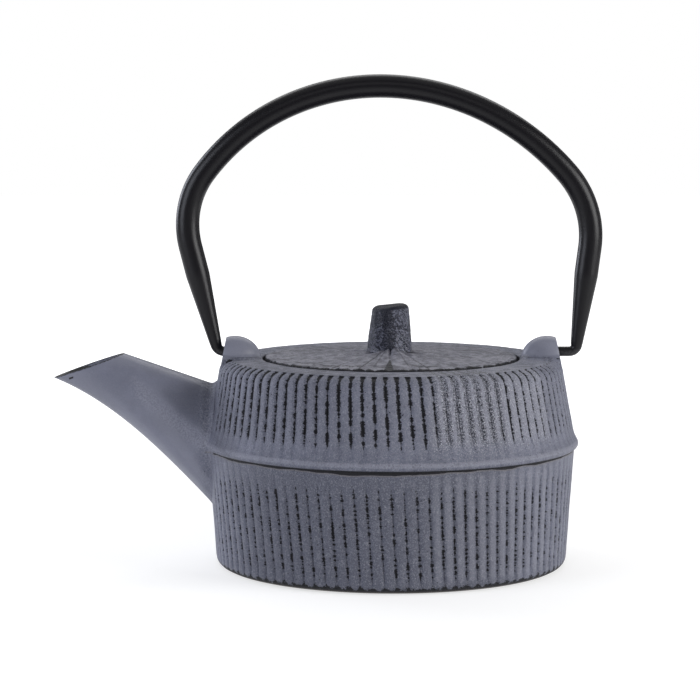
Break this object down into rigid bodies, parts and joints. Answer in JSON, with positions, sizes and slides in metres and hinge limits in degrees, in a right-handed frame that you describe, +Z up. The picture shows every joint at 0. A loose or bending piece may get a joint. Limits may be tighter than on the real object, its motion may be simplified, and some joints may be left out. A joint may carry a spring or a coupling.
{
  "type": "cast iron teapot with infuser basket",
  "caption": "Cast-iron teapot with a straight-topped spout, a swinging bail handle, a loose domed lid with a post knob, and a lift-out infuser basket.",
  "frame": {"origin": "centre of the pot's flat base, on the surface the pot stands on", "axes": "+Z up, the spout points to -X, and the handle swings about a line along X"},
  "size_m": [0.2304, 0.157, 0.2044],
  "materials": {
    "slate_paint": "slate blue-grey paint over black cast iron, worn through in the grooves and at the edges",
    "slate_lid": "slate grey paint on a rough cast top, black at the rim",
    "brushed_knob": "black with grey brushed over the high spots",
    "black_satin": "satin black paint on rolled steel",
    "stainless": "brushed stainless steel",
    "stainless_mesh": "perforated stainless steel",
    "zinc_plate": "bright zinc plate"
  },
  "bodies": {
    "pot": {"pot_body": "slate_paint"},
    "handle": {"handle": "black_satin"},
    "infuser": {"infuser_rim": "stainless", "infuser_sleeve": "stainless_mesh", "infuser_seam": "stainless", "infuser_base_ring": "stainless", "infuser_base_mesh": "stainless_mesh"},
    "lid": {"lid": "slate_lid", "lid_knob": "brushed_knob", "knob_screw": "zinc_plate", "knob_washer": "zinc_plate"}
  },
  "joints": [
    {"name": "handle_swing", "type": "hinge", "parent": "pot", "child": "handle", "pos_m": [0, 0, 0.088], "axis": [1, 0, 0], "range_deg": [-110, 110]},
    {"name": "infuser_lift", "type": "slide", "parent": "pot", "child": "infuser", "axis": [0, 0, 1], "range_m": [0, 0.08]},
    {"name": "lid_lift", "type": "slide", "parent": "infuser", "child": "lid", "axis": [0, 0, 1], "range_m": [0, 0.08]}
  ]
}
